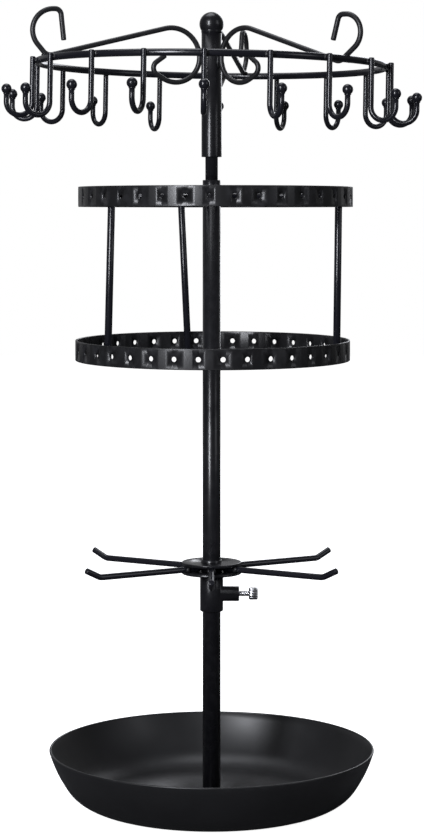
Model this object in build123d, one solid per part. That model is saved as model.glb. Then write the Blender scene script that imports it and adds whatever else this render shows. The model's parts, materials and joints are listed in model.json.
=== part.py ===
from build123d import *
from math import asin, atan2, cos, degrees, hypot, pi, radians, sin
import os

# Rotating display rack for jewellery. Millimetres, +Z up. The origin is on the surface that the
# rack stands on, on the pole's axis. The front is -Y and the right is +X. An azimuth is counted in
# degrees from the front towards the left, -X.

# ---------------------------------------------------------------- driving dimensions

# clearances
RUNNING_CLEARANCE = 0.05        # radial, between a shaft and what turns or slides on it
THREAD_CLEARANCE = 0.05         # radial, between a screw and its plain bore
END_PLAY = 0.1                  # axial, between faces that turn on each other

# dish, the foot of the stand, and its non-slip pad
PAD_RADIUS = 56.0
PAD_THICKNESS = 2.0
PAD_HOLE_RADIUS = 9.0
DISH_RIM_RADIUS = 90.5
DISH_HEIGHT = 28.5              # above its own underside
DISH_FLOOR_RADIUS = 63.8
DISH_CORNER_RADIUS = 20.9
DISH_CORNER_TURN = 55.0         # degrees that the corner turns before the wall begins
DISH_WALL = 1.2

# fixing of the pole to the dish
SCREW_RADIUS = 2.5
SCREW_HEAD_RADIUS = 6.0
SCREW_HEAD_HEIGHT = 1.6
SCREW_SOCKET_WIDTH = 3.0        # across flats
SCREW_SOCKET_DEPTH = 1.0
SCREW_GRIP = 12.0               # length inside the insert
DISH_HOLE_RADIUS = 2.8
SEAT_WASHER_RADIUS = 7.0
SEAT_WASHER_THICKNESS = 1.0
INSERT_LENGTH = 20.0

# pole
TUBE_RADIUS = 5.0
TUBE_WALL = 1.0
TUBE_LENGTH = 329.3
ROD_RADIUS = 3.5
ROD_LENGTH = 82.4               # above the tube's end
STUD_RADIUS = 2.5
STUD_LENGTH = 14.0
THRUST_WASHER_INSET = 0.1       # inside the tube's outside
THRUST_WASHER_THICKNESS = 0.8

# sleeve of the hook carousel
SLEEVE_RADIUS = 5.65
SLEEVE_WALL = 1.0
SLEEVE_LENGTH = 69.6
SLEEVE_EDGE_FILLET = 0.25
SLEEVE_BUSH_LENGTH = 10.0
SLEEVE_BUSH_INSET = 1.0
BEARING_LENGTH = 14.7
FINIAL_RADIUS = 6.8
FINIAL_CENTRE_HEIGHT = 4.7      # above the sleeve's top
FINIAL_SKIRT_RADIUS = 5.8
FINIAL_SKIRT_HEIGHT = 1.0
FINIAL_STUD_RADIUS = 2.0
FINIAL_STUD_LENGTH = 8.0

# hook ring and its hooks
RING_RADIUS = 97.0
RING_WIRE = 3.9
RING_DROP = 18.2                # below the sleeve's top
RING_TILT = 0.9                 # degrees out of level, lower on the right
HOOK_WIRE = 3.0
HOOK_TOP = 0.0                  # leg's end above the ring's top
HOOK_DROP = 31.4                # from the ring's centre to the wire's centre in the bend
HOOK_BEND_RADIUS = 7.3
HOOK_BALL_RADIUS = 2.85
HOOK_BALL_HEIGHT = 14.2         # ball's centre above the bend
HOOK_BALL_GRIP = 1.6            # depth of the wire's end in the ball
WIRE_END_FILLET = 0.6
# Each hook is bent and welded by hand: azimuth, twist away from radial in degrees, extra length.
HOOKS = (
    (2.1, -3.0, 0.2),
    (20.4, 1.0, -0.3),
    (38.7, 2.0, 0.0),
    (59.3, -1.0, 0.4),
    (78.1, -8.0, -0.8),
    (100.4, 4.0, -0.5),
    (120.7, -4.0, -0.5),
    (141.4, 5.0, -0.8),
    (162.0, -5.0, 0.9),
    (182.5, 0.0, 0.0),
    (203.0, -2.0, -0.5),
    (222.7, -9.0, -0.6),
    (243.1, -3.0, -0.4),
    (264.0, -12.0, 0.0),
    (278.6, 4.0, 0.2),
    (301.3, -2.0, 0.4),
    (321.9, 0.0, 0.4),
    (342.3, -5.0, 1.3),
)

# scroll arms that carry the ring
SCROLL_WIRE = 2.9
SCROLL_EYE_RISE = 3.7           # centre of the inner scroll above the ring
SCROLL_LOWER_RADIUS = 14.0
SCROLL_UPPER_RADIUS = 16.2
SCROLL_CURL_RADIUS = 4.2
SCROLL_CURL_REACH = 22.5        # curl's centre out from the wire at the sleeve
SCROLL_CURL_DROP = 6.4          # curl's centre below the eye
SCROLL_END_REACH = 19.9         # inner end out from the wire at the sleeve
SCROLL_END_RISE = 0.8           # inner end above the eye
RING_BEND_RADIUS = 5.0
TIP_BEND_RADIUS = 3.3
TIP_END_INSET = 11.7            # free end inside the ring
TIP_END_RISE = 10.5             # free end above the ring
# Each arm is bent by hand: azimuth, slope at the ring weld in degrees, straight length from the
# bend to the weld, then its tip loop's radius, the loop's centre inside the ring and above it, and
# the last bend's offset towards the pole.
SCROLL_ARMS = (
    (71.7, 30.0, 0.0, 11.9, 6.0, 15.7, 0.7),
    (191.7, 30.0, 0.0, 11.0, 4.5, 15.0, 1.5),
    (310.5, 38.0, 3.5, 10.0, 3.525, 14.255, 1.9),
)

# basket tier: two pierced bands on three upright rods
BAND_RADIUS = 76.7
BAND_HEIGHT = 11.2
BAND_THICKNESS = 1.2
BAND_EDGE_FILLET = 0.3
BAND_HOLE_COUNT = 36
BAND_HOLE_RADIUS = 1.4
BAND_HOLE_PITCH = 9.82          # degrees; what is left of the turn is a plain stretch at the seam
UPPER_SEAM_AZIMUTH = 187.2
LOWER_SEAM_AZIMUTH = 180.8
BAND_SPACING = 85.4
LOWER_BAND_TILT = 0.6           # degrees out of level, lower in front
UPPER_BAND_SHIFT = 2.2          # to the right: the bands aren't welded concentric with the hub
LOWER_BAND_SHIFT = 0.6
UPRIGHT_WIRE = 4.0
UPRIGHT_INSET = 1.0             # from the bands' outer edges
# Azimuths of each upright's top and foot. The bands aren't welded quite in line with each other.
UPRIGHTS = ((49.4, 50.3), (163.8, 168.6), (293.8, 293.0))
SPOKE_WIRE = 3.2
SPOKE_RISE = 4.4                # above the hub's lower end
HUB_RADIUS = 5.0
HUB_WALL = 0.8
HUB_LENGTH = 13.8

# bracelet tier: six arms between two round plates
PLATE_RADIUS = 16.65
PLATE_THICKNESS = 1.6
PLATE_FILLET = 0.5
LOWER_PLATE_BOTTOM = 128.3
PLATE_BUSH_WALL = 0.75
PLATE_BUSH_LIP = 1.2            # above the upper plate
ARM_COUNT = 6
ARM_WIRE = 3.4
ARM_INNER_RADIUS = 7.6
ARM_BEND_RADIUS = 6.0
ARM_STRAIGHT = 68.4             # radius where the arm turns up
ARM_TIP_RADIUS = 78.5
ARM_TIP_RISE = 4.3

# clamp collar under the bracelet tier
COLLAR_WALL = 1.4               # outside its running bore
COLLAR_LENGTH = 20.8
COLLAR_CHAMFER = 0.4
BOSS_RADIUS = 4.2
BOSS_REACH = 15.4
BOSS_HEIGHT = 9.6               # its axis above the collar's lower end
CLAMP_SCREW_RADIUS = 1.5
CLAMP_SCREW_STEM = 5.4          # bare screw between the boss and the knob
KNOB_RADIUS = 3.4
KNOB_LENGTH = 5.0
KNOB_GRIP = 3.0                 # depth of the screw in the knob
KNOB_CHAMFER = 0.5
KNOB_FLUTES = 14
KNOB_FLUTE_RADIUS = 0.45

# ---------------------------------------------------------------- levels that follow

DISH_UNDERSIDE = PAD_THICKNESS
DISH_FLOOR = DISH_UNDERSIDE + DISH_WALL
TUBE_BOTTOM = DISH_FLOOR + SEAT_WASHER_THICKNESS
TUBE_TOP = TUBE_BOTTOM + TUBE_LENGTH
TUBE_BORE = TUBE_RADIUS - TUBE_WALL
ROD_TIP = TUBE_TOP + ROD_LENGTH
BEARING_BOTTOM = ROD_TIP + END_PLAY
SLEEVE_TOP = BEARING_BOTTOM + BEARING_LENGTH
SLEEVE_BOTTOM = SLEEVE_TOP - SLEEVE_LENGTH
SLEEVE_BORE = SLEEVE_RADIUS - SLEEVE_WALL
THRUST_WASHER_RADIUS = TUBE_RADIUS - THRUST_WASHER_INSET
THRUST_WASHER_TOP = TUBE_TOP + THRUST_WASHER_THICKNESS
HUB_BOTTOM = THRUST_WASHER_TOP + END_PLAY
HUB_TOP = HUB_BOTTOM + HUB_LENGTH
HUB_BORE = HUB_RADIUS - HUB_WALL
RING_HEIGHT = SLEEVE_TOP - RING_DROP
RUNNING_ROD_BORE = ROD_RADIUS + RUNNING_CLEARANCE
RUNNING_TUBE_BORE = TUBE_RADIUS + RUNNING_CLEARANCE
BAND_INNER_RADIUS = BAND_RADIUS - BAND_THICKNESS
UPRIGHT_CIRCLE = BAND_INNER_RADIUS - UPRIGHT_WIRE / 2
SEAM_GAP = 360 - (BAND_HOLE_COUNT - 1) * BAND_HOLE_PITCH
SPOKE_LEVEL = HUB_BOTTOM + SPOKE_RISE
UPPER_BAND_BOTTOM = SPOKE_LEVEL - BAND_HEIGHT / 2
LOWER_BAND_BOTTOM = UPPER_BAND_BOTTOM - BAND_SPACING
HOOK_LEG_CIRCLE = RING_RADIUS + (RING_WIRE + HOOK_WIRE) / 2
HOOK_BEND_LEVEL = RING_HEIGHT - HOOK_DROP
RING_PIVOT_LEVEL = RING_HEIGHT + SCROLL_EYE_RISE
ARM_LEVEL = LOWER_PLATE_BOTTOM + PLATE_THICKNESS + ARM_WIRE / 2
UPPER_PLATE_BOTTOM = LOWER_PLATE_BOTTOM + PLATE_THICKNESS + ARM_WIRE
UPPER_PLATE_TOP = UPPER_PLATE_BOTTOM + PLATE_THICKNESS
COLLAR_RADIUS = RUNNING_TUBE_BORE + COLLAR_WALL
PLATE_BUSH_RADIUS = RUNNING_TUBE_BORE + PLATE_BUSH_WALL
COLLAR_TOP = LOWER_PLATE_BOTTOM - END_PLAY
COLLAR_BOTTOM = COLLAR_TOP - COLLAR_LENGTH
BOSS_LEVEL = COLLAR_BOTTOM + BOSS_HEIGHT
CLAMP_SCREW_TIP = TUBE_RADIUS + RUNNING_CLEARANCE
KNOB_START = BOSS_REACH + CLAMP_SCREW_STEM
CLAMP_SCREW_END = KNOB_START + KNOB_GRIP


# ---------------------------------------------------------------- shared shapes

def outward(azimuth):
    """Unit vector away from the pole at an azimuth."""
    return Vector(-sin(radians(azimuth)), -cos(radians(azimuth)), 0)


def radial_plane(azimuth):
    """Upright plane through the pole's axis: local X runs outward and local Y runs up."""
    away = outward(azimuth)
    return Plane(origin=(0, 0, 0), x_dir=away, z_dir=away.cross(Vector(0, 0, 1)))


def rod(radius, bottom, top):
    """Solid round bar on the pole's axis."""
    return Pos(0, 0, bottom) * Cylinder(radius, top - bottom, align=(Align.CENTER, Align.CENTER, Align.MIN))


def tube(radius, bore, bottom, top):
    """Tube on the pole's axis."""
    return rod(radius, bottom, top) - rod(bore, bottom - 1, top + 1)


def turned(outline):
    """Solid of revolution from an outline in the plane of X (radius) and Z (height)."""
    return revolve(Plane.XZ * make_face(outline), axis=Axis.Z)


def chamfer_ends(part, size, bottom, top):
    """Break the edges of a bar's or tube's two end faces."""
    ends = [e for e in part.edges() if abs(e.center().Z - bottom) < 1e-6 or abs(e.center().Z - top) < 1e-6]
    return chamfer(ends, size)


def tilted(part, axis, level, angle):
    """Turn a part about a level axis that crosses the pole's axis at a height."""
    middle = Location((0, 0, level))
    return middle * Rotation(*(axis * angle)) * middle.inverse() * part


def with_ring(part):
    """Tilt what hangs on the hook ring as far as the ring is tilted."""
    return tilted(part, Vector(0, 1, 0), RING_PIVOT_LEVEL, RING_TILT)


def round_ends(part, size):
    """Round the two cut ends of a bent wire."""
    edges = [e for f in part.faces().filter_by(GeomType.PLANE) for e in f.edges()]
    return fillet(edges, size)


def swept_wire(edges, plane, diameter):
    """Round wire along a chain of tangent edges drawn in a plane."""
    path = Wire([plane.location * e for e in edges])
    section = Plane(origin=path @ 0, z_dir=path % 0) * Circle(diameter / 2)
    return sweep(section, path=path)


def wire_over_rolls(start, rolls, end):
    """Edges from start to end over rolls (x, y, radius, sense), tangent to each.

    The sense is +1 where the wire turns to the left round the roll and -1 where it turns right.
    """
    stops = [(start[0], start[1], 0.0)]
    stops += [(x, y, sense * radius) for x, y, radius, sense in rolls]
    stops += [(end[0], end[1], 0.0)]
    headings = []
    for (x0, y0, r0), (x1, y1, r1) in zip(stops, stops[1:]):
        share = (r1 - r0) / hypot(x1 - x0, y1 - y0)
        headings.append(atan2(y1 - y0, x1 - x0) - asin(max(-1.0, min(1.0, share))))
    edges = []
    for i, heading in enumerate(headings):
        leave, reach = [(x + r * sin(heading), y - r * cos(heading)) for x, y, r in stops[i:i + 2]]
        if hypot(reach[0] - leave[0], reach[1] - leave[1]) > 0.01:
            edges.append(Line(leave, reach))
        if i + 1 < len(headings):
            x, y, signed = stops[i + 1]
            sense = 1 if signed > 0 else -1
            turn = (sense * (headings[i + 1] - heading)) % (2 * pi)
            first = degrees(heading) - 90 * sense
            edges.append(CenterArc((x, y), abs(signed), first, sense * degrees(turn)))
    return edges


# ---------------------------------------------------------------- foot and pole

def make_base_pad():
    """Non-slip rubber disc glued under the dish, with room for the screw's head."""
    return tube(PAD_RADIUS, PAD_HOLE_RADIUS, 0, PAD_THICKNESS)


def dish_side(offset):
    """Corner and wall arcs of the dish, moved inward by offset, and the wall arc's two ends."""
    turn = radians(DISH_CORNER_TURN)
    corner_centre = Vector(DISH_FLOOR_RADIUS, DISH_UNDERSIDE + DISH_CORNER_RADIUS)
    bend = corner_centre + Vector(sin(turn), -cos(turn)) * DISH_CORNER_RADIUS
    rim = Vector(DISH_RIM_RADIUS, DISH_UNDERSIDE + DISH_HEIGHT)
    normal = Vector(-sin(turn), cos(turn))
    chord = rim - bend
    wall_radius = chord.length ** 2 / (2 * chord.dot(normal))
    wall_centre = bend + normal * wall_radius
    rim_angle = degrees(atan2(rim.Y - wall_centre.Y, rim.X - wall_centre.X))
    first = DISH_CORNER_TURN - 90
    corner = CenterArc(corner_centre, DISH_CORNER_RADIUS - offset, -90, DISH_CORNER_TURN)
    wall = CenterArc(wall_centre, wall_radius - offset, first, rim_angle - first)
    return corner, wall


def make_dish():
    """Spun steel tray with one wall thickness and a rounded rim."""
    outer_corner, outer_wall = dish_side(0)
    inner_corner, inner_wall = dish_side(DISH_WALL)
    rim_middle = (outer_wall @ 1 + inner_wall @ 1) / 2 + (outer_wall % 1) * (DISH_WALL / 2)
    rim = ThreePointArc(outer_wall @ 1, rim_middle, inner_wall @ 1)
    underside = Line((DISH_HOLE_RADIUS, DISH_UNDERSIDE), outer_corner @ 0)
    floor = Line(inner_corner @ 0, (DISH_HOLE_RADIUS, DISH_FLOOR))
    hole = Line((DISH_HOLE_RADIUS, DISH_FLOOR), (DISH_HOLE_RADIUS, DISH_UNDERSIDE))
    return turned([underside, outer_corner, outer_wall, rim, inner_wall, inner_corner, floor, hole])


def make_foot_screw():
    """Flat-headed socket screw that holds the pole from beneath."""
    head_bottom = DISH_UNDERSIDE - SCREW_HEAD_HEIGHT
    head = chamfer_ends(rod(SCREW_HEAD_RADIUS, head_bottom, DISH_UNDERSIDE), 0.2, head_bottom, head_bottom)
    shank = rod(SCREW_RADIUS, DISH_UNDERSIDE, TUBE_BOTTOM + SCREW_GRIP)
    hexagon = RegularPolygon(SCREW_SOCKET_WIDTH / 2, 6, major_radius=False)
    socket = Pos(0, 0, head_bottom) * extrude(hexagon, SCREW_SOCKET_DEPTH)
    return head + shank - socket


def make_seat_washer():
    """Washer between the dish's floor and the pole."""
    return tube(SEAT_WASHER_RADIUS, DISH_HOLE_RADIUS, DISH_FLOOR, TUBE_BOTTOM)


def make_foot_insert():
    """Threaded plug pressed into the pole's lower end."""
    body = rod(TUBE_BORE, TUBE_BOTTOM, TUBE_BOTTOM + INSERT_LENGTH)
    return body - rod(SCREW_RADIUS + THREAD_CLEARANCE, TUBE_BOTTOM - 1, TUBE_BOTTOM + SCREW_GRIP + 1)


def make_lower_tube():
    """Thick lower part of the pole."""
    return tube(TUBE_RADIUS, TUBE_BORE, TUBE_BOTTOM, TUBE_TOP)


def make_rod_socket():
    """Threaded plug pressed into the pole's upper end, flush with it."""
    body = rod(TUBE_BORE, TUBE_TOP - INSERT_LENGTH, TUBE_TOP)
    return body - rod(STUD_RADIUS + THREAD_CLEARANCE, TUBE_TOP - STUD_LENGTH - 1, TUBE_TOP + 1)


def make_upper_rod():
    """Thin upper rod: a stud below, a shoulder on the tube's end, and a round tip."""
    stud = rod(STUD_RADIUS, TUBE_TOP - STUD_LENGTH, TUBE_TOP)
    body = rod(ROD_RADIUS, TUBE_TOP, ROD_TIP - ROD_RADIUS)
    tip = Pos(0, 0, ROD_TIP - ROD_RADIUS) * Sphere(ROD_RADIUS)
    return stud + body + tip


def make_thrust_washer():
    """Nylon washer on the shoulder, which the basket's hub turns on."""
    return tube(THRUST_WASHER_RADIUS, RUNNING_ROD_BORE, TUBE_TOP, THRUST_WASHER_TOP)


# ---------------------------------------------------------------- hook carousel

def make_sleeve():
    """Long sleeve over the rod. It carries the scroll arms."""
    body = tube(SLEEVE_RADIUS, SLEEVE_BORE, SLEEVE_BOTTOM, SLEEVE_TOP)
    edges = body.edges().filter_by(lambda e: abs(e.center().Z - SLEEVE_BOTTOM) < 1e-6)
    return fillet(edges, SLEEVE_EDGE_FILLET)


def make_sleeve_bush():
    """Nylon bush that guides the sleeve's lower end on the rod."""
    bottom = SLEEVE_BOTTOM + SLEEVE_BUSH_INSET
    return tube(SLEEVE_BORE, RUNNING_ROD_BORE, bottom, bottom + SLEEVE_BUSH_LENGTH)


def make_top_bearing():
    """Plug that closes the sleeve. It rests on the rod's tip and holds the finial's stud."""
    body = rod(SLEEVE_BORE, BEARING_BOTTOM, SLEEVE_TOP)
    return body - rod(FINIAL_STUD_RADIUS + THREAD_CLEARANCE, SLEEVE_TOP - FINIAL_STUD_LENGTH - 1, SLEEVE_TOP + 1)


def make_ball_finial():
    """Ball on a short skirt, with a stud into the bearing plug."""
    skirt = rod(FINIAL_SKIRT_RADIUS, SLEEVE_TOP, SLEEVE_TOP + FINIAL_SKIRT_HEIGHT)
    ball = Pos(0, 0, SLEEVE_TOP + FINIAL_CENTRE_HEIGHT) * Sphere(FINIAL_RADIUS)
    below = rod(2 * FINIAL_RADIUS, SLEEVE_TOP - 2 * FINIAL_RADIUS, SLEEVE_TOP)
    stud = rod(FINIAL_STUD_RADIUS, SLEEVE_TOP - FINIAL_STUD_LENGTH, SLEEVE_TOP)
    return skirt + (ball - below) + stud


def make_hook_ring():
    """Round ring that the hooks hang on."""
    return with_ring(Pos(0, 0, RING_HEIGHT) * Torus(RING_RADIUS, RING_WIRE / 2))


def hook_plane(azimuth, twist):
    """Upright plane of a hook: local X runs from its leg to its ball and local Y runs up."""
    towards_ball = outward(azimuth + twist)
    leg = outward(azimuth) * HOOK_LEG_CIRCLE
    return Plane(origin=leg, x_dir=towards_ball, z_dir=towards_ball.cross(Vector(0, 0, 1)))


def make_hook(azimuth, twist, extra_length):
    """J-shaped hook, welded by its leg to the outside of the ring."""
    top = RING_HEIGHT + RING_WIRE / 2 + HOOK_TOP
    bend_level = HOOK_BEND_LEVEL - extra_length
    roll = (HOOK_BEND_RADIUS, bend_level + HOOK_BEND_RADIUS, HOOK_BEND_RADIUS, 1)
    end = (2 * HOOK_BEND_RADIUS, bend_level + HOOK_BALL_HEIGHT - HOOK_BALL_RADIUS + HOOK_BALL_GRIP)
    wire = swept_wire(wire_over_rolls((0, top), [roll], end), hook_plane(azimuth, twist), HOOK_WIRE)
    rim = [e for f in wire.faces().sort_by(Axis.Z)[-1:] for e in f.edges()]
    return with_ring(fillet(rim, WIRE_END_FILLET))


def make_hook_ball(azimuth, twist, extra_length):
    """Ball on a hook's end, with a blind hole for the wire."""
    level = HOOK_BEND_LEVEL - extra_length + HOOK_BALL_HEIGHT
    hole = rod(HOOK_WIRE / 2, level - 2 * HOOK_BALL_RADIUS, level - HOOK_BALL_RADIUS + HOOK_BALL_GRIP)
    ball = Pos(0, 0, level) * Sphere(HOOK_BALL_RADIUS) - hole
    end = outward(azimuth) * HOOK_LEG_CIRCLE + outward(azimuth + twist) * 2 * HOOK_BEND_RADIUS
    return with_ring(Pos(*end) * ball)


def make_scroll_arm(azimuth, weld_slope, weld_lead, loop_radius, loop_inset, loop_rise, bend_offset):
    """Bent wire from a scroll on the sleeve, over the ring, to an open tip loop."""
    sleeve_side = SLEEVE_RADIUS + SCROLL_WIRE / 2
    eye = RING_HEIGHT + SCROLL_EYE_RISE
    start = (sleeve_side + SCROLL_END_REACH, eye + SCROLL_END_RISE)
    curl = (sleeve_side + SCROLL_CURL_REACH, eye - SCROLL_CURL_DROP, SCROLL_CURL_RADIUS, -1)
    lower = (sleeve_side + SCROLL_LOWER_RADIUS, eye, SCROLL_LOWER_RADIUS, -1)
    upper = (sleeve_side + SCROLL_UPPER_RADIUS, eye, SCROLL_UPPER_RADIUS, -1)
    reach = (RING_WIRE + SCROLL_WIRE) / 2 + RING_BEND_RADIUS
    slope = radians(weld_slope)
    bend_inset = reach * sin(slope) + weld_lead * cos(slope)
    bend_rise = reach * cos(slope) - weld_lead * sin(slope)
    at_ring = (RING_RADIUS - bend_inset, RING_HEIGHT + bend_rise, RING_BEND_RADIUS, 1)
    loop_centre = (RING_RADIUS - loop_inset, RING_HEIGHT + loop_rise)
    tip_loop = (*loop_centre, loop_radius, 1)
    tip_bend_level = loop_centre[1] + loop_radius - TIP_BEND_RADIUS
    tip_bend = (loop_centre[0] - bend_offset, tip_bend_level, TIP_BEND_RADIUS, 1)
    end = (RING_RADIUS - TIP_END_INSET, RING_HEIGHT + TIP_END_RISE)
    edges = wire_over_rolls(start, [curl, lower, upper, at_ring, tip_loop, tip_bend], end)
    wire = round_ends(swept_wire(edges, radial_plane(azimuth), SCROLL_WIRE), WIRE_END_FILLET)
    return with_ring(wire)


# ---------------------------------------------------------------- basket tier

def make_band(bottom, seam_azimuth, shift):
    """Flat steel strip rolled into a ring and pierced for earring posts, but not at its seam."""
    body = tube(BAND_RADIUS, BAND_INNER_RADIUS, bottom, bottom + BAND_HEIGHT)
    body = fillet(body.edges().filter_by(GeomType.CIRCLE), BAND_EDGE_FILLET)
    drill = Cylinder(BAND_HOLE_RADIUS, 4 * BAND_THICKNESS)
    holes = []
    for i in range(BAND_HOLE_COUNT):
        away = outward(seam_azimuth + SEAM_GAP / 2 + i * BAND_HOLE_PITCH)
        centre = away * (BAND_RADIUS - BAND_THICKNESS / 2) + Vector(0, 0, bottom + BAND_HEIGHT / 2)
        holes.append(Plane(origin=centre, z_dir=away) * drill)
    return Pos(shift, 0, 0) * (body - holes)


def make_upper_band():
    return make_band(UPPER_BAND_BOTTOM, UPPER_SEAM_AZIMUTH, UPPER_BAND_SHIFT)


def make_lower_band():
    """Lower band, a little out of level."""
    middle = LOWER_BAND_BOTTOM + BAND_HEIGHT / 2
    band = make_band(LOWER_BAND_BOTTOM, LOWER_SEAM_AZIMUTH, LOWER_BAND_SHIFT)
    return tilted(band, Vector(1, 0, 0), middle, LOWER_BAND_TILT)


def inside_band(azimuth, shift, level):
    """Point on an upright's axis where it passes a band."""
    return outward(azimuth) * UPRIGHT_CIRCLE + Vector(shift, 0, level)


def make_upright(top_azimuth, foot_azimuth):
    """Upright rod inside both bands."""
    foot = inside_band(foot_azimuth, LOWER_BAND_SHIFT, LOWER_BAND_BOTTOM + UPRIGHT_INSET)
    top = inside_band(top_azimuth, UPPER_BAND_SHIFT, UPPER_BAND_BOTTOM + BAND_HEIGHT - UPRIGHT_INSET)
    bar = Plane(origin=foot, z_dir=top - foot) * Cylinder(
        UPRIGHT_WIRE / 2, (top - foot).length, align=(Align.CENTER, Align.CENTER, Align.MIN)
    )
    return chamfer(bar.edges().filter_by(GeomType.CIRCLE), WIRE_END_FILLET / 2)


def make_spoke(top_azimuth, foot_azimuth):
    """Spoke from the hub to an upright, its ends cut to sit on both."""
    away = inside_band(top_azimuth, UPPER_BAND_SHIFT, 0)
    wire = Plane(origin=(0, 0, SPOKE_LEVEL), z_dir=away) * Cylinder(
        SPOKE_WIRE / 2, away.length, align=(Align.CENTER, Align.CENTER, Align.MIN)
    )
    hub = rod(HUB_RADIUS, SPOKE_LEVEL - SPOKE_WIRE, SPOKE_LEVEL + SPOKE_WIRE)
    spoke = wire - hub - make_upright(top_azimuth, foot_azimuth)
    return max(spoke.solids(), key=lambda solid: solid.volume)


def make_hub_tube():
    """Short hub in the middle of the upper band."""
    return chamfer_ends(tube(HUB_RADIUS, HUB_BORE, HUB_BOTTOM, HUB_TOP), HUB_WALL / 4, HUB_BOTTOM, HUB_TOP)


def make_hub_bush():
    """Nylon bush between the hub and the rod."""
    return tube(HUB_BORE, RUNNING_ROD_BORE, HUB_BOTTOM, HUB_TOP - HUB_WALL)


# ---------------------------------------------------------------- bracelet tier

def make_plate(bottom, outer_edge):
    """Round plate with a rounded outer edge on the side away from the arms."""
    body = tube(PLATE_RADIUS, PLATE_BUSH_RADIUS, bottom, bottom + PLATE_THICKNESS)
    edges = [e for e in body.edges() if abs(e.center().Z - outer_edge) < 1e-6 and e.radius > PLATE_BUSH_RADIUS + 1]
    return fillet(edges, PLATE_FILLET)


def make_plate_bush():
    """Bush through both plates, with its lip above the upper one."""
    top = UPPER_PLATE_TOP + PLATE_BUSH_LIP
    return chamfer_ends(
        tube(PLATE_BUSH_RADIUS, RUNNING_TUBE_BORE, LOWER_PLATE_BOTTOM, top), PLATE_BUSH_WALL / 4, top, top
    )


def make_arm(azimuth):
    """Straight arm whose tip turns up, so that bangles stay on."""
    tip = (ARM_TIP_RADIUS, ARM_LEVEL + ARM_TIP_RISE)
    edges = wire_over_rolls(
        (ARM_INNER_RADIUS, ARM_LEVEL), [(ARM_STRAIGHT, ARM_LEVEL + ARM_BEND_RADIUS, ARM_BEND_RADIUS, 1)], tip
    )
    wire = swept_wire(edges, radial_plane(azimuth), ARM_WIRE)
    return round_ends(wire, WIRE_END_FILLET)


# ---------------------------------------------------------------- clamp

def along_x(radius, start, end):
    """Round bar on the clamp screw's axis."""
    return Plane(origin=(start, 0, BOSS_LEVEL), z_dir=(1, 0, 0)) * Cylinder(
        radius, end - start, align=(Align.CENTER, Align.CENTER, Align.MIN)
    )


def make_clamp_collar():
    """Collar that grips the pole, with a boss for its clamp screw."""
    body = chamfer_ends(rod(COLLAR_RADIUS, COLLAR_BOTTOM, COLLAR_TOP), COLLAR_CHAMFER, COLLAR_BOTTOM, COLLAR_TOP)
    boss = along_x(BOSS_RADIUS, 0, BOSS_REACH)
    boss = chamfer(boss.edges().sort_by(Axis.X)[-1:], COLLAR_CHAMFER)
    bore = rod(RUNNING_TUBE_BORE, COLLAR_BOTTOM - 1, COLLAR_TOP + 1)
    return body + boss - bore - along_x(CLAMP_SCREW_RADIUS + THREAD_CLEARANCE, 0, BOSS_REACH + 1)


def make_clamp_screw():
    """Steel screw that presses on the pole."""
    return along_x(CLAMP_SCREW_RADIUS, CLAMP_SCREW_TIP, CLAMP_SCREW_END)


def make_clamp_knob():
    """Small fluted knob on the clamp screw."""
    body = along_x(KNOB_RADIUS, KNOB_START, KNOB_START + KNOB_LENGTH)
    body = chamfer(body.edges().filter_by(GeomType.CIRCLE), KNOB_CHAMFER)
    flutes = []
    for i in range(KNOB_FLUTES):
        turn = radians(i * 360 / KNOB_FLUTES)
        flute = along_x(KNOB_FLUTE_RADIUS, KNOB_START - 1, KNOB_START + KNOB_LENGTH + 1)
        flutes.append(Pos(0, KNOB_RADIUS * cos(turn), KNOB_RADIUS * sin(turn)) * flute)
    return body - flutes - along_x(CLAMP_SCREW_RADIUS, KNOB_START - 1, CLAMP_SCREW_END)


# ---------------------------------------------------------------- assembly

def make_nodes():
    """All nodes by name. A list holds the separate solids of one node."""
    nodes = {
        "base_pad": make_base_pad(),
        "dish": make_dish(),
        "foot_screw": make_foot_screw(),
        "seat_washer": make_seat_washer(),
        "foot_insert": make_foot_insert(),
        "lower_tube": make_lower_tube(),
        "rod_socket": make_rod_socket(),
        "upper_rod": make_upper_rod(),
        "thrust_washer": make_thrust_washer(),
        "sleeve": make_sleeve(),
        "sleeve_bush": make_sleeve_bush(),
        "top_bearing": make_top_bearing(),
        "ball_finial": make_ball_finial(),
        "hook_ring": make_hook_ring(),
        "hook_balls": [make_hook_ball(*hook) for hook in HOOKS],
        "hub_tube": make_hub_tube(),
        "hub_bush": make_hub_bush(),
        "spokes": [make_spoke(*upright) for upright in UPRIGHTS],
        "upper_band": make_upper_band(),
        "lower_band": make_lower_band(),
        "lower_plate": make_plate(LOWER_PLATE_BOTTOM, LOWER_PLATE_BOTTOM),
        "upper_plate": make_plate(UPPER_PLATE_BOTTOM, UPPER_PLATE_TOP),
        "plate_bush": make_plate_bush(),
        "clamp_collar": make_clamp_collar(),
        "clamp_screw": make_clamp_screw(),
        "clamp_knob": make_clamp_knob(),
    }
    for number, hook in enumerate(HOOKS, 1):
        nodes[f"hook_{number:02d}"] = make_hook(*hook)
    for number, arm in enumerate(SCROLL_ARMS, 1):
        nodes[f"scroll_arm_{number}"] = make_scroll_arm(*arm)
    for number, upright in enumerate(UPRIGHTS, 1):
        nodes[f"upright_{number}"] = make_upright(*upright)
    for number in range(1, ARM_COUNT + 1):
        nodes[f"bracelet_arm_{number}"] = make_arm((number - 1) * 360 / ARM_COUNT)
    return nodes


def write_nodes(nodes):
    """One STEP file for each node."""
    os.makedirs("parts", exist_ok=True)
    for name, shape in nodes.items():
        solids = [s for item in (shape if isinstance(shape, list) else [shape]) for s in item.solids()]
        node = solids[0] if len(solids) == 1 else Compound(solids)
        export_step(node, f"parts/{name}.step")


write_nodes(make_nodes())
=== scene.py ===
import bpy
import bmesh
import json
from math import cos, pi, radians, sin
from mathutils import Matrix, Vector, noise


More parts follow.
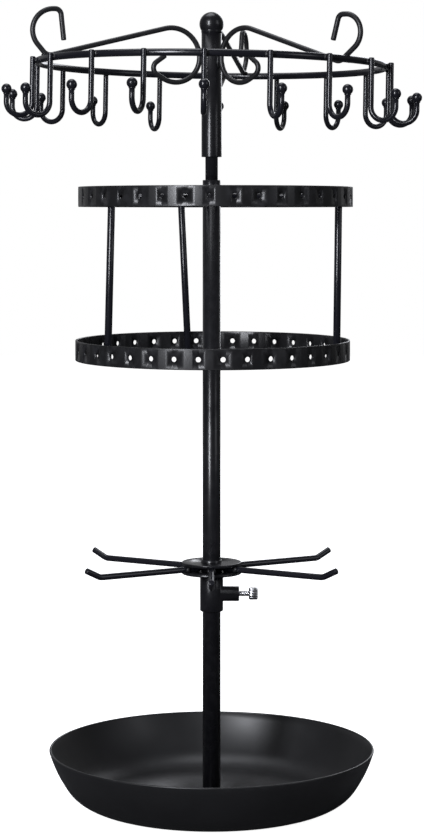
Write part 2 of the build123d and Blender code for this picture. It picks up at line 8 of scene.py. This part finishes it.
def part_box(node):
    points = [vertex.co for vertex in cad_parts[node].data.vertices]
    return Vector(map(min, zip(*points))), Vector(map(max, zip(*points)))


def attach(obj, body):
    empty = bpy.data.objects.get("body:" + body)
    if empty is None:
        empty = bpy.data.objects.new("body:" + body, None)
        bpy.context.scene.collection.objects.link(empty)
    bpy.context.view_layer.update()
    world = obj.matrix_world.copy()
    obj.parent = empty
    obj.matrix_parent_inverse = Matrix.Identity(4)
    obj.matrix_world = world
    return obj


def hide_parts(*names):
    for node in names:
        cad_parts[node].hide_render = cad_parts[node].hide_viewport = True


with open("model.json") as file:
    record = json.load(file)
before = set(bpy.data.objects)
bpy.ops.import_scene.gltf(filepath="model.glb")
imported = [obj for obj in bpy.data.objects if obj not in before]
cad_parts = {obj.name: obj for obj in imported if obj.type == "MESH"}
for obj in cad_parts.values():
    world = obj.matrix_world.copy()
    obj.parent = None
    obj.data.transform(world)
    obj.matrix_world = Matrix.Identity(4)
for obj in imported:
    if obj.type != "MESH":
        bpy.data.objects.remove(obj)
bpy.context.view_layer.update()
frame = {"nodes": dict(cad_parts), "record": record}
NODES = frame["nodes"]
MM = 0.001

# ---------------------------------------------------------------- sizes read from the frame


def box_size(node):
    low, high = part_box(node)
    return high - low


def vertices(node):
    return [v.co for v in NODES[node].data.vertices]


def middle_of_end(node, top):
    """Centre of a wire's upper or lower end."""
    low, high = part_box(node)
    level = high.z if top else low.z
    ring = [v for v in vertices(node) if abs(v.z - level) < END_SLICE]
    return sum(ring, Vector()) / len(ring)


def level_direction(point):
    """Unit vector from the pole's axis towards a point."""
    return Vector((point.x, point.y, 0)).normalized()


def crosswise(away):
    """Level unit vector square to a direction away from the pole."""
    return Vector((-away.y, away.x, 0))


def upwards(height):
    return Vector((0, 0, height))


DISH_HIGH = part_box("dish")[1]
DISH_RIM_RADIUS = box_size("dish").x / 2
SLEEVE_RADIUS = box_size("sleeve").x / 2
RING_LOW, RING_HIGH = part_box("hook_ring")
RING_WIRE = 3.9 * MM
RING_RADIUS = box_size("hook_ring").y / 2 - RING_WIRE / 2
HOOK_WIRE = 3.0 * MM
HOOK_BALL_SPAN = 9 * MM         # points of one ball are nearer to each other than this
SCROLL_EYE_RISE = 3.7 * MM      # middle of a scroll above the ring, where it touches the sleeve
BAND_RADIUS = box_size("upper_band").x / 2
BAND_THICKNESS = 1.2 * MM
UPRIGHT_RADIUS = 2.0 * MM
SPOKE_RADIUS = 1.6 * MM
END_SLICE = 0.5 * MM            # depth of the slice that holds a wire's end
HOOKS = sorted(n for n in NODES if n.startswith("hook_") and n[5:].isdigit())
SCROLLS = sorted(n for n in NODES if n.startswith("scroll_arm_"))
UPRIGHTS = sorted(n for n in NODES if n.startswith("upright_"))
ARMS = sorted(n for n in NODES if n.startswith("bracelet_arm_"))

# ---------------------------------------------------------------- camera, floor and light

CAMERA_DISTANCE = 1.2527
CAMERA_HEIGHT = 0.3279
CAMERA_SHIFT = (0.0005, -0.2424)
FOCAL_LENGTH = 96.0
SENSOR = 36.0
CLIP_END = 20.0
FLOOR_SIZE = 8.0
FLOOR_GLOW = 0.965              # what the eye sees of the paper by its own light
FLOOR_PAPER = (0.9, 0.9, 0.9, 1)
FLOOR_BOUNCE = (0.12, 0.12, 0.125, 1)
AMBIENT = 0.09
BACKDROP = 0.22                 # added to the ambient light behind the object
BACKDROP_START = 0.2            # from where to where the room brightens, 1 being straight behind
BACKDROP_END = 0.95
ROOM_COLOUR = (0.96, 0.97, 1.0, 1)
LIGHT_COLOUR = (0.92, 0.94, 1.0)
# name, place, target, width, height and power in watts
SOFTBOXES = (
    ("key", (-0.66, -1.30, 0.66), (0, 0, 0.30), 0.26, 0.90, 22),
    ("overhead", (-0.15, 0.25, 1.7), (0, 0, 0.2), 0.9, 0.9, 8),
    ("fill", (1.5, -0.9, 0.8), (0, 0, 0.25), 0.5, 0.9, 2.5),
    ("rear", (0.5, 1.7, 0.9), (0, 0, 0.25), 0.6, 1.0, 6),
)


def link(thing):
    bpy.context.scene.collection.objects.link(thing)
    return thing


def make_camera():
    data = bpy.data.cameras.new("camera")
    camera = link(bpy.data.objects.new("camera", data))
    camera.location = (0, -CAMERA_DISTANCE, CAMERA_HEIGHT)
    camera.rotation_euler = (radians(90), 0, 0)
    data.sensor_width = SENSOR
    data.lens = FOCAL_LENGTH
    data.shift_x, data.shift_y = CAMERA_SHIFT
    data.clip_end = CLIP_END
    bpy.context.scene.camera = camera


def make_floor():
    half = FLOOR_SIZE / 2
    mesh = bpy.data.meshes.new("floor")
    corners = [(-half, -half, 0), (half, -half, 0), (half, half, 0), (-half, half, 0)]
    mesh.from_pydata(corners, [], [(0, 1, 2, 3)])
    mesh.materials.append(floor_material())
    link(bpy.data.objects.new("floor", mesh))


def floor_material():
    """Pale paper: a bright sweep to the eye, but only a soft bounce on the object."""
    material = bpy.data.materials.new("paper")
    material.use_nodes = True
    tree = material.node_tree
    tree.nodes.clear()
    output = tree.nodes.new("ShaderNodeOutputMaterial")
    paths = tree.nodes.new("ShaderNodeLightPath")
    seen = tree.nodes.new("ShaderNodeAddShader")
    glow = tree.nodes.new("ShaderNodeEmission")
    glow.inputs["Strength"].default_value = FLOOR_GLOW
    paper = tree.nodes.new("ShaderNodeBsdfDiffuse")
    paper.inputs["Color"].default_value = FLOOR_PAPER
    bounce = tree.nodes.new("ShaderNodeBsdfDiffuse")
    bounce.inputs["Color"].default_value = FLOOR_BOUNCE
    mix = tree.nodes.new("ShaderNodeMixShader")
    tree.links.new(glow.outputs[0], seen.inputs[0])
    tree.links.new(paper.outputs[0], seen.inputs[1])
    tree.links.new(paths.outputs["Is Camera Ray"], mix.inputs[0])
    tree.links.new(bounce.outputs[0], mix.inputs[1])
    tree.links.new(seen.outputs[0], mix.inputs[2])
    tree.links.new(mix.outputs[0], output.inputs["Surface"])
    return material


def make_world():
    """White studio: fully white to the eye, dim round the object and brighter behind it."""
    world = bpy.data.worlds.new("studio")
    bpy.context.scene.world = world
    world.use_nodes = True
    tree = world.node_tree
    tree.nodes.clear()
    output = tree.nodes.new("ShaderNodeOutputWorld")
    paths = tree.nodes.new("ShaderNodeLightPath")
    place = tree.nodes.new("ShaderNodeTexCoord")
    split = tree.nodes.new("ShaderNodeSeparateXYZ")
    ramp = tree.nodes.new("ShaderNodeMapRange")
    ramp.interpolation_type = "SMOOTHSTEP"
    ramp.inputs["From Min"].default_value = BACKDROP_START
    ramp.inputs["From Max"].default_value = BACKDROP_END
    ramp.inputs["To Min"].default_value = AMBIENT
    ramp.inputs["To Max"].default_value = AMBIENT + BACKDROP
    room = tree.nodes.new("ShaderNodeBackground")
    white = tree.nodes.new("ShaderNodeBackground")
    white.inputs["Color"].default_value = (1, 1, 1, 1)
    room.inputs["Color"].default_value = ROOM_COLOUR
    mix = tree.nodes.new("ShaderNodeMixShader")
    tree.links.new(place.outputs["Generated"], split.inputs[0])
    tree.links.new(split.outputs["Y"], ramp.inputs["Value"])
    tree.links.new(ramp.outputs["Result"], room.inputs["Strength"])
    tree.links.new(paths.outputs["Is Camera Ray"], mix.inputs[0])
    tree.links.new(room.outputs[0], mix.inputs[1])
    tree.links.new(white.outputs[0], mix.inputs[2])
    tree.links.new(mix.outputs[0], output.inputs["Surface"])


def softbox(name, place, target, width, height, power):
    data = bpy.data.lights.new(name, "AREA")
    data.shape = "RECTANGLE"
    data.size = width
    data.size_y = height
    data.energy = power
    data.color = LIGHT_COLOUR
    light = link(bpy.data.objects.new(name, data))
    light.location = place
    light.rotation_euler = (Vector(target) - Vector(place)).to_track_quat("-Z", "Y").to_euler()


def make_lights():
    for box in SOFTBOXES:
        softbox(*box)


# ---------------------------------------------------------------- materials


class Shader:
    """A Principled material with the few node chains that every coat here shares."""

    def __init__(self, name):
        self.material = bpy.data.materials.new(name)
        self.material.use_nodes = True
        self.tree = self.material.node_tree
        self.principled = self.tree.nodes["Principled BSDF"]
        self.place = self.tree.nodes.new("ShaderNodeTexCoord").outputs["Object"]

    def noise(self, scale, detail, stretch=None):
        texture = self.tree.nodes.new("ShaderNodeTexNoise")
        texture.inputs["Scale"].default_value = scale
        texture.inputs["Detail"].default_value = detail
        source = self.place
        if stretch:
            mapping = self.tree.nodes.new("ShaderNodeMapping")
            mapping.inputs["Scale"].default_value = stretch
            self.tree.links.new(source, mapping.inputs["Vector"])
            source = mapping.outputs["Vector"]
        self.tree.links.new(source, texture.inputs["Vector"])
        return texture.outputs["Fac"]

    def remap(self, value, from_low, from_high, low, high):
        ramp = self.tree.nodes.new("ShaderNodeMapRange")
        limits = {"From Min": from_low, "From Max": from_high, "To Min": low, "To Max": high}
        for name, number in limits.items():
            ramp.inputs[name].default_value = number
        self.tree.links.new(value, ramp.inputs["Value"])
        return ramp.outputs["Result"]

    def blend(self, factor, first, second):
        """Colour between first and second, each a colour or a socket."""
        mix = self.tree.nodes.new("ShaderNodeMix")
        mix.data_type = "RGBA"
        self.tree.links.new(factor, mix.inputs[0])
        for socket, value in ((mix.inputs[6], first), (mix.inputs[7], second)):
            if isinstance(value, tuple):
                socket.default_value = (*value, 1)
            else:
                self.tree.links.new(value, socket)
        return mix.outputs[2]

    def edges(self, start, end):
        """How worn an edge is, from how sharply the surface turns."""
        geometry = self.tree.nodes.new("ShaderNodeNewGeometry")
        return self.remap(geometry.outputs["Pointiness"], start, end, 0.0, 1.0)

    def bump(self, layers):
        """Stack height layers (value, strength, distance in metres) into the normal."""
        normal = None
        for value, strength, distance in layers:
            node = self.tree.nodes.new("ShaderNodeBump")
            node.inputs["Strength"].default_value = strength
            node.inputs["Distance"].default_value = distance
            self.tree.links.new(value, node.inputs["Height"])
            if normal:
                self.tree.links.new(normal, node.inputs["Normal"])
            normal = node.outputs["Normal"]
        self.tree.links.new(normal, self.principled.inputs["Normal"])

    def colour(self, socket):
        self.tree.links.new(socket, self.principled.inputs["Base Color"])

    def roughness(self, socket):
        self.tree.links.new(socket, self.principled.inputs["Roughness"])


CLOUD_SCALE = 38                # features per metre of a coat's slow change of shade
GLOSS_SCALE = 60
GRAIN_SCALE = 600
RUB_SCALE = 210
GRAIN_HEIGHT = 0.05 * MM
RUBBED_COLOUR = (0.05, 0.05, 0.055)
SPECULAR_LEVEL = 0.5
# Black coats: darkest and lightest colour, roughness and its spread, grain, wear of the edges.
COATS = {
    "dish": ((0.0085, 0.0085, 0.0092), (0.0120, 0.0120, 0.0130), 0.42, 0.04, 0.05, 0.35),
    "pole": ((0.0072, 0.0072, 0.0090), (0.0082, 0.0082, 0.0100), 0.27, 0.02, 0, 0.1),
    "wire": ((0.0070, 0.0072, 0.0108), (0.0080, 0.0082, 0.0120), 0.24, 0.02, 0, 0.0),
    "scroll": ((0.0110, 0.0110, 0.0125), (0.0130, 0.0130, 0.0145), 0.38, 0.03, 0, 0.0),
    "band": ((0.0070, 0.0070, 0.0080), (0.0100, 0.0100, 0.0110), 0.34, 0.04, 0.03, 0.35),
    "weld": ((0.0070, 0.0070, 0.0080), (0.0100, 0.0100, 0.0110), 0.36, 0.06, 0.10, 0.1),
}


def coat_material(name, dark, light, rough, spread, grain, wear):
    """Black stoved coat: uneven shade and gloss, rubbed edges, and grain where it has any."""
    shader = Shader(name)
    cloud = shader.noise(CLOUD_SCALE, 4)
    shade = shader.blend(shader.remap(cloud, 0.3, 0.7, 0, 1), dark, light)
    rubbed = shader.tree.nodes.new("ShaderNodeMath")
    rubbed.operation = "MULTIPLY"
    shader.tree.links.new(shader.edges(0.53, 0.60), rubbed.inputs[0])
    patches = shader.remap(shader.noise(RUB_SCALE, 3), 0.45, 0.62, 0, wear)
    shader.tree.links.new(patches, rubbed.inputs[1])
    shader.colour(shader.blend(rubbed.outputs[0], shade, RUBBED_COLOUR))
    gloss = shader.noise(GLOSS_SCALE, 1)
    shader.roughness(shader.remap(gloss, 0.25, 0.75, rough - spread, rough + spread))
    if grain:
        shader.bump([(shader.noise(GRAIN_SCALE, 1), grain, GRAIN_HEIGHT)])
    shader.principled.inputs["Specular IOR Level"].default_value = SPECULAR_LEVEL
    return shader.material


def steel_material(name, colour, rough, stretch):
    """Bare steel with fine turning marks."""
    shader = Shader(name)
    marks = shader.noise(60, 6, stretch)
    darker = tuple(0.8 * c for c in colour)
    shader.colour(shader.blend(shader.remap(marks, 0.3, 0.7, 0, 1), colour, darker))
    shader.roughness(shader.remap(marks, 0.3, 0.7, rough - 0.06, rough + 0.08))
    shader.bump([(marks, 0.25, 0.03 * MM)])
    shader.principled.inputs["Metallic"].default_value = 1.0
    return shader.material


def moulded_material(name, colour, other, rough, grain):
    """Moulded rubber or nylon with a fine matte grain."""
    shader = Shader(name)
    shader.colour(shader.blend(shader.noise(55, 3), colour, other))
    shader.roughness(shader.remap(shader.noise(320, 4), 0.3, 0.7, rough - 0.08, rough + 0.06))
    shader.bump([(shader.noise(1400, 2), grain, 0.08 * MM)])
    return shader.material


def make_materials():
    made = {name: coat_material(f"{name}_coat", *coat) for name, coat in COATS.items()}
    made["rubber"] = moulded_material("pad_rubber", (0.018, 0.018, 0.018), (0.028, 0.028, 0.029), 0.82, 0.5)
    made["nylon"] = moulded_material("nylon", (0.62, 0.60, 0.55), (0.70, 0.68, 0.63), 0.45, 0.25)
    made["zinc"] = steel_material("zinc_steel", (0.52, 0.53, 0.55), 0.34, (1, 1, 30))
    made["bright"] = steel_material("bright_steel", (0.74, 0.74, 0.76), 0.20, (40, 1, 1))
    return made


# What the added pieces are made of, as the record's slots.
MATERIAL_OF_SLOT = {
    "dish_coat": "dish", "pole_coat": "pole", "wire_coat": "wire", "band_coat": "band",
    "pad_rubber": "rubber", "nylon": "nylon", "zinc_steel": "zinc", "bright_steel": "bright",
}


SHARP_ANGLE = radians(32)
WELD_DISTANCE = 0.002 * MM


def smooth_node(node):
    """Shade a node smooth between its sharp edges, across the seams of its faces."""
    mesh = node.data
    stored = mesh.attributes.get("custom_normal")
    if stored:
        mesh.attributes.remove(stored)
    for face in mesh.polygons:
        face.use_smooth = True
    mesh.set_sharp_from_angle(angle=SHARP_ANGLE)
    weld = node.modifiers.new("join_seams", "WELD")
    weld.merge_threshold = WELD_DISTANCE


def dress_nodes(materials):
    """Give every CAD node its procedural material."""
    slots = {part["node"]: part["material_slot"] for part in frame["record"]["subparts"]}
    for name, node in NODES.items():
        key = "scroll" if name in SCROLLS else MATERIAL_OF_SLOT[slots[name]]
        node.data.materials.clear()
        node.data.materials.append(materials[key])
        smooth_node(node)


# ---------------------------------------------------------------- meshes of the added pieces


def add_piece(name, mesh, material, body):
    """Link a mesh as a piece that rides on a body."""
    for face in mesh.polygons:
        face.use_smooth = True
    mesh.materials.append(MATERIALS[material])
    piece = link(bpy.data.objects.new(name, mesh))
    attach(piece, body)
    return piece


def mesh_from(name, bm):
    bmesh.ops.recalc_face_normals(bm, faces=bm.faces)
    mesh = bpy.data.meshes.new(name)
    bm.to_mesh(mesh)
    bm.free()
    return mesh


def add_blob(bm, centre, along, across, up, lumps=0.12, detail=2):
    """A lumpy ellipsoid, such as a weld bead, with three half axes as vectors."""
    made = bmesh.ops.create_icosphere(bm, subdivisions=detail, radius=1.0)["verts"]
    size = min(along.length, across.length, up.length)
    for vertex in made:
        x, y, z = vertex.co
        offset = along * x + across * y + up * z
        swell = 1 + lumps * noise.noise((centre + offset) / size * 0.9)
        vertex.co = centre + offset * swell


def add_ring_of_sections(bm, path, closed=True):
    """Skin a list of vertex loops into a tube."""
    rows = [[bm.verts.new(point) for point in loop] for loop in path]
    pairs = list(zip(rows, rows[1:] + rows[:1])) if closed else list(zip(rows, rows[1:]))
    for first, second in pairs:
        for i in range(len(first)):
            j = (i + 1) % len(first)
            bm.faces.new((first[i], first[j], second[j], second[i]))
    if not closed:
        bm.faces.new(rows[0])
        bm.faces.new(list(reversed(rows[-1])))


def circle_section(centre, u, v, radius, count):
    turns = [2 * pi * i / count for i in range(count)]
    return [centre + u * (radius * cos(t)) + v * (radius * sin(t)) for t in turns]


def add_torus(bm, centre, normal, radius, thickness, around=96, section=12):
    """A round bead of a given wire radius."""
    normal = normal.normalized()
    u = normal.orthogonal().normalized()
    v = normal.cross(u)
    loops = []
    for i in range(around):
        turn = 2 * pi * i / around
        away = u * cos(turn) + v * sin(turn)
        loops.append(circle_section(centre + away * radius, away, normal, thickness, section))
    add_ring_of_sections(bm, loops)


# ---------------------------------------------------------------- welds and small parts of the hook ring


HOOK_WELD_SPREAD = 1.25 * MM    # beads to each side of the leg's middle
HOOK_WELD_SINK = 0.15 * MM
HOOK_WELD_SIZE = (1.3 * MM, 0.95 * MM, 1.45 * MM)
BEAD_LUMPS = 0.25


def hook_details():
    """Weld beads that join each hook to the ring."""
    welds = bmesh.new()
    for name in HOOKS:
        leg = middle_of_end(name, top=True)
        away = level_direction(leg)
        sideways = crosswise(away)
        seam = leg - away * (HOOK_WIRE / 2) - upwards(RING_WIRE / 2)
        width, depth, height = HOOK_WELD_SIZE
        for side in (-1, 1):
            centre = seam + sideways * (side * HOOK_WELD_SPREAD) - away * HOOK_WELD_SINK
            add_blob(welds, centre, sideways * width, away * depth, upwards(height), BEAD_LUMPS)
    add_piece("hook_welds", mesh_from("hook_welds", welds), "weld", "carousel")


def ball_centres():
    """Centre of each ball on the hooks' ends."""
    groups = []
    for point in vertices("hook_balls"):
        for group in groups:
            if (group[0] - point).length < HOOK_BALL_SPAN:
                group.append(point)
                break
        else:
            groups.append([point])
    centres = []
    for group in groups:
        low = Vector([min(p[i] for p in group) for i in range(3)])
        high = Vector([max(p[i] for p in group) for i in range(3)])
        centres.append((low + high) / 2)
    return centres


NECK_DROP = 2.75 * MM           # below the ball's centre
NECK_THICKNESS = 0.38 * MM


def make_ball_necks():
    """Small collar of coat where each ball sits on its wire."""
    necks = bmesh.new()
    for centre in ball_centres():
        foot = centre - upwards(NECK_DROP)
        add_torus(necks, foot, upwards(1), HOOK_WIRE / 2, NECK_THICKNESS, 28, 8)
    add_piece("ball_necks", mesh_from("ball_necks", necks), "wire", "carousel")


def arm_direction(name):
    return level_direction(sum(vertices(name), Vector()))


def ring_level(away):
    """Height of the ring's centre line in a direction; the ring isn't quite level."""
    middle = (RING_LOW.z + RING_HIGH.z) / 2
    slope = (box_size("hook_ring").z - RING_WIRE) / (2 * RING_RADIUS)
    return middle - slope * away.x * RING_RADIUS


RING_WELD_SPREAD = 1.0 * MM
RING_WELD_SIZE = (1.1 * MM, 1.7 * MM, 0.8 * MM)
SLEEVE_WELD_SPREAD = 1.2 * MM
SLEEVE_WELD_REACH = 0.2 * MM    # bead's middle out from the sleeve's surface
SLEEVE_WELD_SIZE = (1.1 * MM, 0.8 * MM, 4.2 * MM)
SLEEVE_WELD_LUMPS = 0.22


def scroll_details():
    """Weld beads where the scroll arms touch the ring and the sleeve."""
    welds = bmesh.new()
    for name in SCROLLS:
        away = arm_direction(name)
        sideways = crosswise(away)
        level = ring_level(away)
        ring = away * RING_RADIUS + upwards(level)
        near = min((v for v in vertices(name)), key=lambda point: (point - ring).length)
        out = (near - ring).normalized()
        out = (out - sideways * out.dot(sideways)).normalized()
        along = out.cross(sideways)
        seam = ring + out * (RING_WIRE / 2)
        width, length, height = RING_WELD_SIZE
        for side in (-1, 1):
            centre = seam + sideways * (side * RING_WELD_SPREAD)
            add_blob(welds, centre, sideways * width, along * length, out * height, BEAD_LUMPS)
        touch = away * SLEEVE_RADIUS + upwards(level + SCROLL_EYE_RISE)
        width, depth, height = SLEEVE_WELD_SIZE
        for side in (-1, 1):
            centre = touch + sideways * (side * SLEEVE_WELD_SPREAD) + away * SLEEVE_WELD_REACH
            add_blob(welds, centre, sideways * width, away * depth, upwards(height), SLEEVE_WELD_LUMPS, 3)
    add_piece("scroll_welds", mesh_from("scroll_welds", welds), "weld", "carousel")


# ---------------------------------------------------------------- basket tier


BAND_WELD_SINK = 0.45 * MM      # bead's middle in from the band's inside
BAND_WELD_SPREAD = 1.45 * MM
BAND_WELD_SIZE = (1.0 * MM, 0.7 * MM, 4.3 * MM)
BAND_WELD_LUMPS = 0.18
SPOKE_WELD_THICKNESS = 0.55 * MM


def basket_details():
    """Fillet welds of the uprights, the spokes and the hub."""
    welds = bmesh.new()
    width, depth, height = BAND_WELD_SIZE
    inner = BAND_RADIUS - BAND_THICKNESS
    hub_radius = box_size("hub_tube").x / 2
    spoke_low, spoke_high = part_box("spokes")
    spoke_level = upwards((spoke_low.z + spoke_high.z) / 2)
    for name in UPRIGHTS:
        top = middle_of_end(name, top=True)
        foot = middle_of_end(name, top=False)
        for end, band in ((top, "upper_band"), (foot, "lower_band")):
            low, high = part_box(band)
            middle = (low + high) / 2
            away = level_direction(end - middle)
            sideways = crosswise(away)
            for side in (-1, 1):
                offset = sideways * (side * BAND_WELD_SPREAD)
                centre = middle + away * (inner - BAND_WELD_SINK) + offset
                add_blob(welds, centre, sideways * width, away * depth, upwards(height), BAND_WELD_LUMPS, 3)
        away = level_direction(top)
        reach = Vector((top.x, top.y, 0)).length - UPRIGHT_RADIUS
        for distance in (reach, hub_radius):
            add_torus(welds, away * distance + spoke_level, away, SPOKE_RADIUS, SPOKE_WELD_THICKNESS, 24, 8)
    add_piece("basket_welds", mesh_from("basket_welds", welds), "weld", "basket")


# ---------------------------------------------------------------- bracelet tier and clamp


ARM_WELD_INSET = 0.9 * MM       # inside the plates' edge
ARM_WELD_SPREAD = 1.6 * MM
ARM_WELD_SIZE = (1.3 * MM, 0.9 * MM, 1.65 * MM)


def bracelet_details():
    """Weld beads between the arms and the two plates."""
    welds = bmesh.new()
    plate_radius = box_size("upper_plate").x / 2
    level = (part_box("lower_plate")[1].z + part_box("upper_plate")[0].z) / 2
    length, width, height = ARM_WELD_SIZE
    for name in ARMS:
        away = arm_direction(name)
        sideways = crosswise(away)
        for side in (-1, 1):
            offset = sideways * (side * ARM_WELD_SPREAD)
            centre = away * (plate_radius - ARM_WELD_INSET) + offset + upwards(level)
            add_blob(welds, centre, away * length, sideways * width, upwards(height), BEAD_LUMPS)
    add_piece("arm_welds", mesh_from("arm_welds", welds), "weld", "bracelet_tier")


SCREW_PITCH = 0.5 * MM
SCREW_RADIUS = 1.5 * MM
SCREW_TOOTH = 0.16 * MM
SCREW_STEPS = 20                # points round the screw
SCREW_ROWS = 4                  # rows of points in one pitch


def make_threaded_screw():
    """Clamp screw with its thread, in place of the plain bar."""
    low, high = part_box("clamp_screw")
    level = (low.z + high.z) / 2
    turns = (high.x - low.x) / SCREW_PITCH
    bm = bmesh.new()
    rows = []
    count = int(turns * SCREW_ROWS) + 1
    for row in range(count + 1):
        x = low.x + (high.x - low.x) * row / count
        ring = []
        for step in range(SCREW_STEPS):
            turn = 2 * pi * step / SCREW_STEPS
            phase = (x / SCREW_PITCH - step / SCREW_STEPS) % 1
            radius = SCREW_RADIUS - SCREW_TOOTH * abs(2 * phase - 1)
            ring.append(Vector((x, radius * cos(turn), level + radius * sin(turn))))
        rows.append(ring)
    add_ring_of_sections(bm, rows, closed=False)
    piece = add_piece("threaded_screw", mesh_from("threaded_screw", bm), "bright", "screw_stem")
    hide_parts("clamp_screw")


# ---------------------------------------------------------------- dish


RIM_BEAD = 0.65 * MM            # radius of the bead's section


def dish_details():
    """Rolled bead round the dish's rim."""
    rim = bmesh.new()
    centre = upwards(DISH_HIGH.z - RIM_BEAD)
    add_torus(rim, centre, upwards(1), DISH_RIM_RADIUS - RIM_BEAD, RIM_BEAD, 240, 16)
    add_piece("dish_rim_bead", mesh_from("dish_rim_bead", rim), "dish", "root")


MATERIALS = make_materials()
bpy.context.scene.view_settings.view_transform = "Standard"
make_camera()
make_floor()
make_world()
make_lights()
dress_nodes(MATERIALS)
hook_details()
make_ball_necks()
scroll_details()
basket_details()
bracelet_details()
make_threaded_screw()
dish_details()
